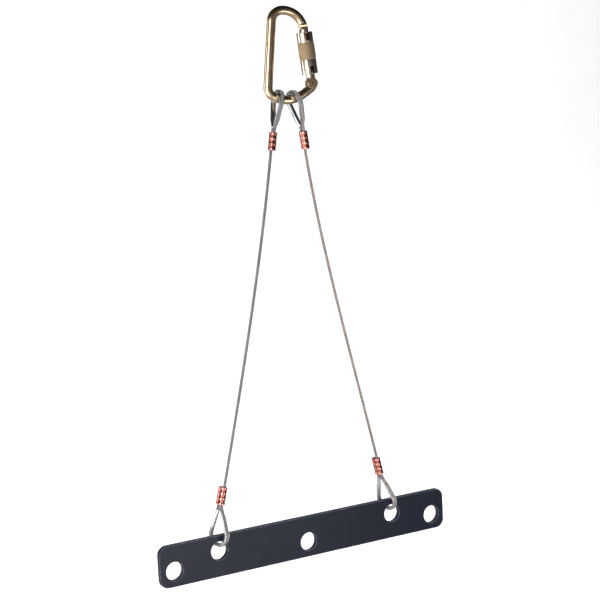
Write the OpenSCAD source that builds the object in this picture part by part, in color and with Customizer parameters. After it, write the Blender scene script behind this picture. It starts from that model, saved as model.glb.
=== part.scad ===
// Wire rope hanging spreader bar: an auto-locking steel carabiner carries two wire rope legs,
// and the legs carry a flat steel bar with three load holes.
// Units are millimetres. +X runs along the bar, +Y away from the front, +Z up.
// The origin is the hang point, on the inside of the carabiner's top bow.

/* [Spreader bar] */
// Length of the bar
bar_length = 406.4; // [400:0.1:420]
// Height of the bar on edge
bar_height = 50.8; // [50:0.1:56]
// Thickness of the bar
bar_thick = 6.35; // [5:0.05:6.5]
// Radius of the bar's four corners
bar_corner = 11; // [6:0.5:18]
// Diameter of the load holes and of the cable holes
hole_d = 22.2; // [21.5:0.1:23]
// Bevel at both mouths of every hole
hole_bevel = 0.5; // [0.4:0.05:0.8]
// Distance of a hole's centre from the nearest edges
hole_inset = 19.05; // [18.5:0.05:20]
// Distance of each cable hole from the bar's middle
cable_hole_x = 123.8; // [120:0.1:128]

/* [Hanging height] */
// Height of the hang point above the bar's centre line
hang_height = 629.5; // [600:0.5:700]

/* [Carabiner] */
// Diameter of the round steel stock
stock_d = 10.8; // [10.4:0.1:11]
// Turn of the carabiner about the vertical, seen from above
carabiner_yaw = 11; // [0:1:15]
// Lean of the spine from the vertical
spine_lean = 6.15; // [5:0.05:7]
// Lean of the gate from the vertical
gate_lean = 6.1; // [5:0.05:7]
// Length of the straight spine
spine_length = 77; // [76:0.1:78]
// Centre line radius of the tight top corner over the spine
top_corner_r = 13.4; // [13:0.1:14]
// Centre line radius of the wide top bow over the gate
top_bow_r = 26.6; // [26:0.1:27]
// Centre line radius of the bottom corner under the spine
spine_corner_r = 11.5; // [11:0.1:12]
// Centre line radius of the bottom bow, where the eyes hang
seat_bow_r = 36.5; // [36:0.1:37]
// Centre line radius of the corner under the gate
hinge_corner_r = 6.1; // [6:0.1:6.5]

/* [Gate] */
// Diameter of the gate barrel
gate_d = 10.4; // [10:0.1:10.6]
// Thickness of the hinge tongue
tongue_t = 4.9; // [4.5:0.1:5]
// Diameter of the hinge rivet
rivet_d = 3.2; // [3:0.1:3.4]
// Diameter of the latch pin across the gate's fork
latch_pin_d = 2; // [1.8:0.1:2]
// Thickness of the nose blade that enters the fork
blade_t = 4.5; // [4:0.1:4.5]

/* [Locking sleeve] */
// Outside diameter of the smooth ends of the sleeve
sleeve_d = 19; // [18:0.1:19]
// Outside diameter of the knurled band
band_d = 19.8; // [19.4:0.1:20]
// Height of the sleeve's lower rim above the rivet
sleeve_low = 11; // [11:0.1:12]
// Height of the sleeve's upper rim above the rivet
sleeve_top = 60.2; // [59.8:0.1:60.2]
// Turn of the sleeve that unlocks the gate
sleeve_turn = 90; // [60:5:90]

/* [Wire rope legs] */
// Diameter of the wire rope
rope_d = 4; // [3.8:0.1:4.1]
// Distance of each top eye from the hang point, along the carabiner
eye_spread = 9.7; // [9.5:0.1:10]
// Radius of the rope's centre line around a thimble
eye_r = 13.1; // [13:0.1:13.2]
// Length of an eye from its crown centre to its ferrule
eye_length = 36; // [35:0.5:37]
// Length of a pressed ferrule
ferrule_length = 21.5; // [20:0.5:23]
// Radius of a ferrule's rounded sides over its ridges
ferrule_r = 4.6; // [4.5:0.1:4.8]
// Lean of the left and right bottom eyes
foot_lean = [6, 15]; // [5:0.5:16]
// Lean of the ferrules over the bottom eyes
foot_ferrule_lean = [14.5, 13]; // [12:0.5:16]
// Turn of the left and right bottom eyes about their own legs
foot_twist = [198, 14]; // [0:1:200]
// Lean of the left and right top eyes
head_lean = [13, 15.5]; // [12:0.5:16]
// Lean of the ferrules under the top eyes
head_ferrule_lean = [9.5, 8]; // [7:0.5:14]
// Turn of the left and right top eyes about their own legs
head_twist = [10, 180]; // [0:1:190]

/* [Hidden] */
$fn = 64;
LEFT = 0;
RIGHT = 1;

zinc_gold = [0.76, 0.62, 0.36];
pale_gold = [0.88, 0.80, 0.58];
bright_steel = [0.80, 0.80, 0.82];
rope_grey = [0.55, 0.54, 0.55];
copper = [0.85, 0.42, 0.30];
bar_black = [0.11, 0.11, 0.14];

fit_gap = 0.05;       // running clearance of a pin in its bore
clear_gap = 0.3;      // clearance between faces that pass each other
cut = 1;              // how far a cutting shape passes the face it cuts
joint_step = 0.02;    // difference in size between two lengths that are joined end to end
joint_lap = 0.5;      // how far they overlap, in millimetres or in degrees of a turn

// Carabiner, drawn flat: x to the gate side, y up, the origin at the hang point.
stock_r = stock_d / 2;
nose_straight = 1.9;
nose_turn = 90 - gate_lean;
spine_turn = 90 - spine_lean;
seat_start = 24;
seat_end = 33;
// Each step is a straight run, [length, 0], or a left turn, [radius, angle].
carabiner_path = [
  [nose_straight, 0],
  [top_bow_r, nose_turn],
  [top_corner_r, spine_turn],
  [spine_length, 0],
  [spine_corner_r, 180 - spine_turn - seat_start],
  [2.5, 0],
  [seat_bow_r, seat_start + seat_end],
  [11.6, 0],
  [hinge_corner_r, 180 - nose_turn - seat_end]
];
SEAT_STEP = 6;
nose_heading = 90 + gate_lean;
nose_bend = [0, stock_r - top_bow_r] + top_bow_r * [sin(nose_turn), cos(nose_turn)];
nose_tip = nose_bend - nose_straight * [cos(nose_heading), sin(nose_heading)];

function turn_centre(p, heading, radius) = p + radius * [-sin(heading), cos(heading)];
function step_end(p, heading, step) =
  step[1] == 0 ? p + step[0] * [cos(heading), sin(heading)]
               : turn_centre(p, heading, step[0])
                 + step[0] * [sin(heading + step[1]), -cos(heading + step[1])];
function walk_to(count, p = nose_tip, heading = nose_heading, i = 0) =
  i == count ? [p, heading]
             : walk_to(count, step_end(p, heading, carabiner_path[i]),
                       heading + carabiner_path[i][1], i + 1);

seat_state = walk_to(SEAT_STEP);
seat_centre = turn_centre(seat_state[0], seat_state[1], seat_bow_r);

// Gate: heights are measured up the gate axis from the hinge rivet.
blade_tip = 61.2;
rivet = nose_tip - blade_tip * [cos(nose_heading), sin(nose_heading)];
ear_r = 6.6;
ear_ball_r = 8;
tongue_r = 5;
tongue_gap = 0.2;
slot_t = tongue_t + 2 * tongue_gap;
far = 30;             // longer than any gate part is wide
slot_floor = -5.4;
barrel_low = 7;
fork_floor = 60.6;
fork_top = 65;
dome_r = 9;
dome_flat = 0.3;
latch_height = 63.6;
lip_top = 62;
notch_top = 65;
flat_top = 65.4;
cutter_r = 7;
guide_pin_d = 2.4;
guide_pin_height = 47;
plunger_offset = -3.1;
plunger_r = 1;
plunger_bore_r = plunger_r + fit_gap;
plunger_top = 2.6;
plunger_low = slot_floor + 0.1;
plunger_bore_top = 24;

// Sleeve
sleeve_bore_r = gate_d / 2 + fit_gap;
chamber_r = 7.7;
chamber_low = 17;
chamber_top = 44;
rim_chamfer = 0.7;
band_low = 28.2;
band_top = 48.4;
window_w = 4.6;
top_window_depth = 9.5;
low_window_depth = 11;
groove_r = 7.6;
groove_spare = 15;    // degrees the groove runs on past each end of the turn

// Legs
rope_r = rope_d / 2;
strand_x = rope_r + 0.1;
return_r = 6;
eye_reach = norm([strand_x + return_r, eye_length]);
eye_taper = asin((eye_r + return_r) / eye_reach) - atan2(strand_x + return_r, eye_length);
thimble_r = 3.2;
thimble_wall = 1.05;
thimble_inner_r = eye_r - thimble_r;
seat_gap = 0.6;
hole_r = hole_d / 2;
cable_hole_z = bar_height / 2 - hole_inset - hang_height;
load_hole_z = hole_inset - bar_height / 2 - hang_height;
load_hole_x = bar_length / 2 - hole_inset;
foot_drop = 7.8;      // how far above a cable hole's top edge the crown centre sits

function eye_sign(side) = side == LEFT ? -1 : 1;
// Where the bow's centre line carries each eye, drawn flat in the carabiner's plane.
function seat_z(side) =
  seat_centre[1] - sqrt(seat_bow_r ^ 2 - (eye_sign(side) * eye_spread - seat_centre[0]) ^ 2);
// Each leg has its own frame: x towards the middle of the bar, z up, the origin at its foot's
// crown centre. The right leg's frame is the left one's turned half way round.
function foot_x(side) = cable_hole_x - (hole_r + foot_drop) * sin(foot_lean[side]);
function foot_z(side) = cable_hole_z + (hole_r + foot_drop) * cos(foot_lean[side]);
seat_out = eye_spread * cos(carabiner_yaw);
seat_back = eye_spread * sin(carabiner_yaw);
function leg_yaw(side) = atan2(seat_back, foot_x(side) - seat_out);
crown_drop = thimble_inner_r - stock_r - seat_gap;
function head_at(side) = [
  norm([foot_x(side) - seat_out, seat_back]) - crown_drop * sin(head_lean[side]),
  0,
  seat_z(side) - crown_drop * cos(head_lean[side]) - foot_z(side)
];

// Points of one eye's rope in its own frame: the crown centre at the origin, +z to the ferrule.
function crown_point(a) = [0, eye_r * sin(a), -eye_r * cos(a)];
function return_point(a, side) =
  [0, side * (strand_x + return_r * (1 - cos(a))), eye_length - return_r * sin(a)];
crown_end = 90 + eye_taper;
crown_steps = 18;
return_steps = 2;
ferrule_far = eye_length + ferrule_length;
straight_run = 2;     // how far the live strand runs straight on past the ferrule
tail_short = 0.5;     // how far inside the ferrule the cut tail stops
eye_rope = concat(
  [[0, strand_x, ferrule_far + straight_run]],
  [for (i = [0 : return_steps]) return_point(eye_taper * i / return_steps, 1)],
  [for (i = [0 : crown_steps]) crown_point(crown_end * (1 - 2 * i / crown_steps))],
  [for (i = [return_steps : -1 : 0]) return_point(eye_taper * i / return_steps, -1)],
  [[0, -strand_x, ferrule_far - tail_short]]
);

function spin_y(p, a) = [p[0] * cos(a) + p[2] * sin(a), p[1], p[2] * cos(a) - p[0] * sin(a)];
function spin_z(p, a) = [p[0] * cos(a) - p[1] * sin(a), p[0] * sin(a) + p[1] * cos(a), p[2]];
// A point of an eye that leans and is turned. From the throat on it leans as the ferrule does.
throat = [0, 0, eye_length];
function on_eye(p, lean, ferrule_lean, twist) = p[2] < eye_length
  ? spin_y(spin_z(p, twist), lean)
  : spin_y(throat, lean) + spin_y(spin_z(p - throat, twist), ferrule_lean);
function at_foot(p, side) = on_eye(p, foot_lean[side], foot_ferrule_lean[side], foot_twist[side]);
function at_head(p, side) = head_at(side)
  + on_eye(p, 180 + head_lean[side], 180 + head_ferrule_lean[side], head_twist[side]);
function reversed(list) = [for (i = [len(list) - 1 : -1 : 0]) list[i]];
// The free leg is one cubic curve between the ferrules, in line with both of them at its ends.
leg_steps = 40;
function leg_curve(a, b, ta, tb, u) =
  (2 * u ^ 3 - 3 * u ^ 2 + 1) * a + (u ^ 3 - 2 * u ^ 2 + u) * ta
  + (3 * u ^ 2 - 2 * u ^ 3) * b + (u ^ 3 - u ^ 2) * tb;
function leg_points(side) =
  let (foot = [for (p = eye_rope) at_foot(p, side)],
       head = [for (p = eye_rope) at_head(p, side)],
       a = foot[0], b = head[0], span = norm(b - a),
       ta = span * spin_y([0, 0, 1], foot_ferrule_lean[side]),
       tb = span * spin_y([0, 0, 1], head_ferrule_lean[side]))
  concat(
    reversed(foot),
    [for (i = [1 : leg_steps - 1]) leg_curve(a, b, ta, tb, i / leg_steps)],
    head
  );

// A tube swept along a list of points: its rings are square to the route.
function unit(v) = v / norm(v);
function heading_at(route, i) =
  unit(route[min(i + 1, len(route) - 1)] - route[max(i - 1, 0)]);
function ring(centre, heading, radius, sides, across) =
  let (u = unit(cross(heading, across)), v = cross(u, heading))
  [for (k = [0 : sides - 1]) centre + radius * (cos(360 * k / sides) * u + sin(360 * k / sides) * v)];
module tube(route, radius, sides, across) {
  rings = [for (i = [0 : len(route) - 1])
    ring(route[i], heading_at(route, i), radius, sides, across)];
  points = [for (r = rings) for (p = r) p];
  last = len(points) - sides;
  walls = [for (i = [0 : len(route) - 2]) for (k = [0 : sides - 1])
    let (n = (k + 1) % sides, low = i * sides, high = low + sides)
    [low + k, high + k, high + n, low + n]];
  ends = [[for (k = [0 : sides - 1]) k], [for (k = [sides - 1 : -1 : 0]) last + k]];
  polyhedron(points = points, faces = concat(walls, ends), convexity = 8);
}

// A coil spring about the z axis, wound from a round wire.
module coil(radius, wire_r, low, high, turns) {
  around = 14;
  count = turns * around;
  route = [for (i = [0 : count])
    [radius * cos(360 * i / around), radius * sin(360 * i / around),
     low + wire_r + (high - low - 2 * wire_r) * i / count]];
  tube(route, wire_r, 6, [0, 0, 1]);
}

// Frames
module in_carabiner() {
  rotate([0, 0, -carabiner_yaw]) children();
}
module on_gate_axis() {
  in_carabiner() translate([rivet[0], 0, rivet[1]]) rotate([0, -gate_lean, 0]) children();
}
module in_leg(side) {
  rotate([0, 0, 180 * side]) translate([-foot_x(side), 0, foot_z(side)])
    rotate([0, 0, leg_yaw(side)]) children();
}
module on_foot(side) {
  in_leg(side) rotate([0, foot_lean[side], 0]) rotate([0, 0, foot_twist[side]]) children();
}
module on_head(side) {
  in_leg(side) translate(head_at(side)) rotate([0, 180 + head_lean[side], 0])
    rotate([0, 0, head_twist[side]]) children();
}
// Each ferrule's own frame, with its mouth at the origin.
module on_foot_ferrule(side) {
  in_leg(side) translate(spin_y(throat, foot_lean[side]))
    rotate([0, foot_ferrule_lean[side], 0]) rotate([0, 0, foot_twist[side]]) children();
}
module on_head_ferrule(side) {
  in_leg(side) translate(head_at(side) + spin_y(throat, 180 + head_lean[side]))
    rotate([0, 180 + head_ferrule_lean[side], 0]) rotate([0, 0, head_twist[side]]) children();
}
module across_gate(height, x = 0) {
  translate([x, 0, height]) rotate([90, 0, 0]) children();
}

// Round stock bent along the path. Every second step is a hair thinner and runs into its
// neighbours, so that each joint is a clean overlap.
module bent_stock() {
  for (i = [0 : len(carabiner_path) - 1]) {
    step = carabiner_path[i];
    state = walk_to(i);
    thinner = i % 2;
    lap = thinner * joint_lap;
    radius = stock_r - thinner * joint_step;
    if (step[1] == 0)
      translate(state[0]) rotate([0, 0, state[1]]) rotate([0, 90, 0])
        translate([0, 0, -lap]) cylinder(h = step[0] + 2 * lap, r = radius);
    else
      translate(turn_centre(state[0], state[1], step[0]))
        rotate([0, 0, state[1] - 90 - lap])
          rotate_extrude(angle = step[1] + 2 * lap) translate([step[0], 0]) circle(radius);
  }
}

// The nose is milled to a blade on both sides; the cutter leaves a round run-out above it.
module nose_cuts() {
  for (side = [-1, 1]) {
    translate([-far / 2, side > 0 ? blade_t / 2 : -blade_t / 2 - far, blade_tip - cut])
      cube([far, far, flat_top - blade_tip + cut]);
    translate([-far / 2, side * (blade_t / 2 + cutter_r), flat_top]) rotate([0, 90, 0])
      cylinder(h = far, r = cutter_r);
  }
  translate([-far, -blade_t / 2 - cut, lip_top])
    cube([far + latch_pin_d / 2 + clear_gap, blade_t + 2 * cut, notch_top - lip_top]);
}

module carabiner_body() {
  color(zinc_gold) difference() {
    union() {
      in_carabiner() rotate([90, 0, 0]) bent_stock();
      on_gate_axis() intersection() {
        across_gate(0) cylinder(h = stock_d, r = ear_r, center = true);
        sphere(ear_ball_r);
      }
    }
    on_gate_axis() {
      nose_cuts();
      translate([-far / 2, -slot_t / 2, slot_floor]) cube([far, slot_t, far]);
      across_gate(0) cylinder(h = far, r = rivet_d / 2, center = true);
    }
  }
}

module gate_rivet() {
  color(bright_steel) on_gate_axis() across_gate(0)
    cylinder(h = stock_d, r = rivet_d / 2, center = true);
}

module gate() {
  color(pale_gold) on_gate_axis() difference() {
    union() {
      intersection() {
        translate([0, 0, barrel_low]) cylinder(h = fork_top - barrel_low, r = gate_d / 2);
        translate([0, 0, fork_top - dome_r + dome_flat]) sphere(dome_r);
      }
      translate([0, 0, barrel_low]) cylinder(h = fork_floor - barrel_low, r = gate_d / 2);
      translate([-tongue_r, -tongue_t / 2, 0]) cube([2 * tongue_r, tongue_t, barrel_low]);
      across_gate(0) cylinder(h = tongue_t, r = tongue_r, center = true);
    }
    translate([-far / 2, -tongue_t / 2, fork_floor]) cube([far, tongue_t, far]);
    across_gate(0) cylinder(h = far, r = rivet_d / 2 + fit_gap, center = true);
    across_gate(latch_height) cylinder(h = far, r = latch_pin_d / 2, center = true);
    translate([plunger_offset, 0, slot_floor - cut])
      cylinder(h = plunger_bore_top - slot_floor + cut, r = plunger_bore_r);
    translate([0, 0, guide_pin_height]) rotate([90, 0, 0]) cylinder(h = far, r = guide_pin_d / 2);
  }
}

module latch_pin() {
  color(bright_steel) on_gate_axis() across_gate(latch_height)
    cylinder(h = gate_d - 2 * clear_gap, r = latch_pin_d / 2, center = true);
}

module gate_plunger() {
  color(bright_steel) on_gate_axis() translate([plunger_offset, 0, plunger_low + plunger_r]) {
    cylinder(h = plunger_top - plunger_low - plunger_r, r = plunger_r);
    sphere(plunger_r);
  }
}

module gate_spring() {
  color(bright_steel) on_gate_axis() translate([plunger_offset, 0, 0])
    coil(0.7, 0.24, plunger_top + fit_gap, plunger_bore_top - fit_gap, 10);
}

module sleeve_guide_pin() {
  color(bright_steel) on_gate_axis() translate([0, 0, guide_pin_height]) rotate([90, 0, 0])
    cylinder(h = groove_r - clear_gap, r = guide_pin_d / 2);
}

module sleeve_spring() {
  color(bright_steel) on_gate_axis() coil(6.5, 0.6, chamber_low + 1, chamber_top - 1, 8);
}

module sleeve_outline() {
  r = sleeve_d / 2;
  polygon([
    [0, sleeve_low], [r - rim_chamfer, sleeve_low], [r, sleeve_low + rim_chamfer], [r, band_low],
    [band_d / 2, band_low], [band_d / 2, band_top], [r, band_top],
    [r, sleeve_top - rim_chamfer], [r - rim_chamfer, sleeve_top], [0, sleeve_top]
  ]);
}

module locking_sleeve() {
  pin_room = guide_pin_d / 2 + clear_gap;
  color(pale_gold) on_gate_axis() difference() {
    rotate_extrude() sleeve_outline();
    translate([0, 0, sleeve_low - cut])
      cylinder(h = sleeve_top - sleeve_low + 2 * cut, r = sleeve_bore_r);
    translate([0, 0, chamber_low]) cylinder(h = chamber_top - chamber_low, r = chamber_r);
    translate([0, 0, guide_pin_height - pin_room]) rotate([0, 0, -90 - sleeve_turn - groove_spare])
      rotate_extrude(angle = sleeve_turn + 2 * groove_spare) square([groove_r, 2 * pin_room]);
    translate([-window_w / 2, -far, sleeve_top - top_window_depth])
      cube([window_w, far, top_window_depth + cut]);
    translate([-window_w / 2, -far, sleeve_low - cut])
      cube([window_w, far, low_window_depth + cut]);
  }
}

// A thimble is an open channel bent round the eye, with its wall towards the inside.
module thimble_section(thinner = 0) {
  channel_r = thimble_r - thimble_wall + thinner;
  outer_r = thimble_r - thinner;
  lip = 1.1 - thinner;
  difference() {
    union() {
      circle(outer_r);
      translate([0, -outer_r]) square([lip, 2 * outer_r]);
    }
    circle(channel_r);
    translate([0, -channel_r]) square([thimble_r + cut, 2 * channel_r]);
    translate([lip, -thimble_r - cut]) square([thimble_r, 2 * thimble_r + 2 * cut]);
  }
}

module thimble() {
  tip_spare = 0.12;
  tip_x = thimble_r * cos(eye_taper) + tip_spare;
  leg_len = (eye_r * cos(eye_taper) - tip_x) / sin(eye_taper);
  rotate([0, 90, 0]) {
    rotate([0, 0, -crown_end]) rotate_extrude(angle = 2 * crown_end)
      translate([eye_r, 0]) thimble_section();
    for (flip = [0, 1]) mirror([0, flip, 0])
      rotate([0, 0, crown_end]) rotate([90, 0, 0]) translate([eye_r, 0, -leg_len])
        linear_extrude(leg_len + joint_lap) thimble_section(joint_step);
  }
}

// A ferrule is an oval copper sleeve, pressed in steps that leave ridges between them.
ridges = 4;
ridge_w = 2.6;
pressed_r = ferrule_r - 0.6;
module oval(radius) {
  spread = 1.35;
  translate([0, spread]) circle(radius);
  translate([0, -spread]) circle(radius);
  translate([-radius, -spread]) square([2 * radius, 2 * spread]);
}
module ferrule() {
  step = (ferrule_length - ridge_w) / (ridges - 1);
  difference() {
    union() {
      translate([0, 0, 0.3]) linear_extrude(ferrule_length - 0.6) oval(pressed_r);
      for (i = [0 : ridges - 1]) translate([0, 0, i * step]) linear_extrude(ridge_w) oval(ferrule_r);
    }
    for (strand = [-1, 1]) translate([0, strand * strand_x, -cut])
      cylinder(h = ferrule_length + 2 * cut, r = rope_r);
  }
}

module rope(side) {
  color(rope_grey) in_leg(side) tube(leg_points(side), rope_r, 8, [1, 0, 0]);
}
module left_rope() { rope(LEFT); }
module right_rope() { rope(RIGHT); }
module left_top_thimble() { color(bright_steel) on_head(LEFT) thimble(); }
module right_top_thimble() { color(bright_steel) on_head(RIGHT) thimble(); }
module left_bottom_thimble() { color(bright_steel) on_foot(LEFT) thimble(); }
module right_bottom_thimble() { color(bright_steel) on_foot(RIGHT) thimble(); }
module left_top_ferrule() { color(copper) on_head_ferrule(LEFT) ferrule(); }
module right_top_ferrule() { color(copper) on_head_ferrule(RIGHT) ferrule(); }
module left_bottom_ferrule() { color(copper) on_foot_ferrule(LEFT) ferrule(); }
module right_bottom_ferrule() { color(copper) on_foot_ferrule(RIGHT) ferrule(); }

// Spreader bar
module bar_outline() {
  x = bar_length / 2 - bar_corner;
  z = bar_height / 2 - bar_corner;
  square([bar_length, 2 * z], center = true);
  square([2 * x, bar_height], center = true);
  for (sx = [-x, x]) for (sz = [-z, z]) translate([sx, sz]) circle(bar_corner);
}
module bevelled_hole(x, z) {
  translate([x, 0, z]) rotate([90, 0, 0]) {
    cylinder(h = bar_thick + 2 * cut, r = hole_r, center = true);
    for (face = [0, 1]) mirror([0, 0, face]) translate([0, 0, bar_thick / 2 - hole_bevel])
      cylinder(h = 2 * hole_bevel, r1 = hole_r, r2 = hole_r + 2 * hole_bevel);
  }
}
module spreader_bar() {
  color(bar_black) difference() {
    translate([0, 0, -hang_height]) rotate([90, 0, 0])
      linear_extrude(bar_thick, center = true) bar_outline();
    for (x = [-load_hole_x, 0, load_hole_x]) bevelled_hole(x, load_hole_z);
    for (x = [-cable_hole_x, cable_hole_x]) bevelled_hole(x, cable_hole_z);
  }
}

carabiner_body();
gate_rivet();
gate();
latch_pin();
gate_spring();
gate_plunger();
sleeve_guide_pin();
sleeve_spring();
locking_sleeve();
left_rope();
left_top_thimble();
left_top_ferrule();
left_bottom_thimble();
left_bottom_ferrule();
right_rope();
right_top_thimble();
right_top_ferrule();
right_bottom_thimble();
right_bottom_ferrule();
spreader_bar();
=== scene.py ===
import math

import bmesh
import bpy
import numpy as np
from mathutils import Matrix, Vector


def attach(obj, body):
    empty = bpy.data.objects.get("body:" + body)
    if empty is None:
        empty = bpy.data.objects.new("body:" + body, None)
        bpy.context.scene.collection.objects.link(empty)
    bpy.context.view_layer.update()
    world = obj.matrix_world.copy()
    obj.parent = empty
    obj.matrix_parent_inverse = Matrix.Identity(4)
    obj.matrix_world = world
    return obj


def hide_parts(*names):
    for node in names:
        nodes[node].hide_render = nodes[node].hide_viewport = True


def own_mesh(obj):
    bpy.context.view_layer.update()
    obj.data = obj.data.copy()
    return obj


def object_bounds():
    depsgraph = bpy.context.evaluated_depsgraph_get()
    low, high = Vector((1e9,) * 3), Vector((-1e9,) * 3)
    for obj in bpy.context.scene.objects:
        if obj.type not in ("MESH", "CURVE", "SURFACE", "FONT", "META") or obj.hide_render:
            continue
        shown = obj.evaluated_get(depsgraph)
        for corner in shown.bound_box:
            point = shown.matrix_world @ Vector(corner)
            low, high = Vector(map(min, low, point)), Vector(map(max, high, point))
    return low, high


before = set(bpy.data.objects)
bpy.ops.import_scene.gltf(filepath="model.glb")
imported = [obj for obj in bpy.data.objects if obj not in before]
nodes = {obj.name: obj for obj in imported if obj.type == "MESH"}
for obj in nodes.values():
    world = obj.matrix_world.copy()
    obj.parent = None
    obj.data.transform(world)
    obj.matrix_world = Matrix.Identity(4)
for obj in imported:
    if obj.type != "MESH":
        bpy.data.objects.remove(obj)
cad_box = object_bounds()
MM = 0.001
LEFT, RIGHT = 0, 1
SIDES = {"left": LEFT, "right": RIGHT}

# ---------------------------------------------------------------- camera
CAMERA_AT = (-1.0195, -1.6967, -0.0512)
CAMERA_AZIMUTH = -31.148
CAMERA_ELEVATION = 8.238
CAMERA_ROLL = -2.785
LENS = 100.12
SENSOR = 36.0


def sin(degrees):
    return math.sin(math.radians(degrees))


def cos(degrees):
    return math.cos(math.radians(degrees))


def make_camera():
    data = bpy.data.cameras.new("camera")
    data.lens = LENS
    data.sensor_width = SENSOR
    data.clip_start = 0.05
    data.clip_end = 20
    camera = bpy.data.objects.new("camera", data)
    bpy.context.scene.collection.objects.link(camera)
    # The camera looks along its own -Z: tip it up from looking down, turn it about Z, then roll.
    look = Matrix.Rotation(math.radians(CAMERA_AZIMUTH), 4, "Z")
    look = look @ Matrix.Rotation(math.radians(90 - CAMERA_ELEVATION), 4, "X")
    look = look @ Matrix.Rotation(math.radians(CAMERA_ROLL), 4, "Z")
    camera.matrix_world = Matrix.Translation(CAMERA_AT) @ look
    bpy.context.scene.camera = camera


make_camera()

# ---------------------------------------------------------------- sizes shared with the CAD
STOCK_R = 5.4
CARABINER_YAW = 11
SPINE_LEAN = 6.15
GATE_LEAN = 6.1
NOSE_STRAIGHT = 1.9
TOP_BOW_R = 26.6
SEAT_BOW_R = 36.5
SEAT_START = 24
SEAT_END = 33
NOSE_TURN = 90 - GATE_LEAN
SPINE_TURN = 90 - SPINE_LEAN
CARABINER_PATH = [
    (NOSE_STRAIGHT, 0),
    (TOP_BOW_R, NOSE_TURN),
    (13.4, SPINE_TURN),
    (77, 0),
    (11.5, 180 - SPINE_TURN - SEAT_START),
    (2.5, 0),
    (SEAT_BOW_R, SEAT_START + SEAT_END),
    (11.6, 0),
    (6.1, 180 - NOSE_TURN - SEAT_END),
]
SEAT_STEP = 6
BLADE_TIP = 61.2
BLADE_T = 4.5
FLAT_TOP = 65.4
CUTTER_R = 7
LIP_TOP = 62
NOTCH_TOP = 65
NOTCH_REACH = 1.3
EAR_R = 6.6
EAR_BALL_R = 8
SLOT_T = 5.3
SLOT_FLOOR = -5.4

SLEEVE_LOW, SLEEVE_TOP = 11, 60.2
SLEEVE_R, BAND_R = 9.5, 9.9
BAND_LOW, BAND_TOP = 28.2, 48.4
SLEEVE_BORE_R = 5.25
CHAMBER_LOW, CHAMBER_TOP, CHAMBER_R = 17, 44, 7.7
GROOVE_R, GROOVE_MID, GROOVE_HALF = 7.6, 47, 1.5
WINDOW_W = 4.6
TOP_WINDOW, LOW_WINDOW = 9.5, 11

BAR_LENGTH, BAR_HEIGHT, BAR_THICK = 406.4, 50.8, 6.35
BAR_CORNER = 11
HOLE_R = 11.1
HOLE_INSET = 19.05
CABLE_HOLE_X = 123.8
HANG_HEIGHT = 629.5
CABLE_HOLE_Z = BAR_HEIGHT / 2 - HOLE_INSET - HANG_HEIGHT
LOAD_HOLE_Z = HOLE_INSET - BAR_HEIGHT / 2 - HANG_HEIGHT
LOAD_HOLE_X = BAR_LENGTH / 2 - HOLE_INSET

ROPE_R = 2.0
STRAND_X = ROPE_R + 0.1
RETURN_R = 6
EYE_SPREAD = 9.7
EYE_R = 13.1
EYE_LENGTH = 36
FERRULE_LENGTH = 21.5
FERRULE_FAR = EYE_LENGTH + FERRULE_LENGTH
FERRULE_R = 4.6
FERRULE_SPREAD = 1.35
FOOT_LEAN = (6, 15)
FOOT_FERRULE_LEAN = (14.5, 13)
FOOT_TWIST = (198, 14)
HEAD_LEAN = (13, 15.5)
HEAD_FERRULE_LEAN = (9.5, 8)
HEAD_TWIST = (10, 180)
THIMBLE_R = 3.2
THIMBLE_WALL = 1.05
SEAT_GAP = 0.6
FOOT_DROP = 7.8


# ---------------------------------------------------------------- small helpers
def turn(axis, degrees):
    return Matrix.Rotation(math.radians(degrees), 4, axis)


def shift(x, y, z):
    return Matrix.Translation((x, y, z))


def placed(points, matrix):
    """Points of one frame, in the row frame."""
    m = np.array(matrix)
    return np.asarray(points, float) @ m[:3, :3].T + m[:3, 3]


def unit(v):
    v = np.asarray(v, float)
    return v / np.linalg.norm(v, axis=-1, keepdims=True)


def smooth_min(a, b, k):
    """The lower of a and b, with a rounded corner of width k."""
    h = np.maximum(k - np.abs(a - b), 0) / k
    return np.minimum(a, b) - h * h * k / 4


def ease(t):
    t = np.clip(t, 0, 1)
    return t * t * (3 - 2 * t)


def skin(rings, wrap=False, first=0):
    """Faces over rings of equally many points. wrap joins the last ring to the first, and without
    it both ends are closed. first is the number of the first point."""
    count, sides = len(rings), len(rings[0])
    faces = []
    for i in range(count if wrap else count - 1):
        a, b = i * sides, (i + 1) % count * sides
        for k in range(sides):
            n = (k + 1) % sides
            faces.append([first + a + k, first + a + n, first + b + n, first + b + k])
    if not wrap:
        last = (count - 1) * sides
        faces.append([first + k for k in range(sides - 1, -1, -1)])
        faces.append([first + last + k for k in range(sides)])
    return faces


def make_object(name, points, faces):
    """A smooth mesh object from millimetre points in the row frame."""
    mesh = bpy.data.meshes.new(name)
    mesh.from_pydata((np.asarray(points, float) * MM).tolist(), [], [list(f) for f in faces])
    mesh.validate()
    mesh.shade_smooth()
    obj = bpy.data.objects.new(name, mesh)
    bpy.context.scene.collection.objects.link(obj)
    outward(mesh)
    return obj


def outward(mesh):
    work = bmesh.new()
    work.from_mesh(mesh)
    bmesh.ops.recalc_face_normals(work, faces=work.faces)
    work.to_mesh(mesh)
    work.free()


def weights(obj, name, values):
    """A number for each point of the mesh, which a material can read."""
    layer = obj.data.attributes.new(name, "FLOAT", "POINT")
    layer.data.foreach_set("value", np.asarray(values, np.float32))


def settle(obj):
    """Turns an object's modifiers into its mesh."""
    graph = bpy.context.evaluated_depsgraph_get()
    mesh = bpy.data.meshes.new_from_object(obj.evaluated_get(graph))
    obj.modifiers.clear()
    obj.data = mesh


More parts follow.
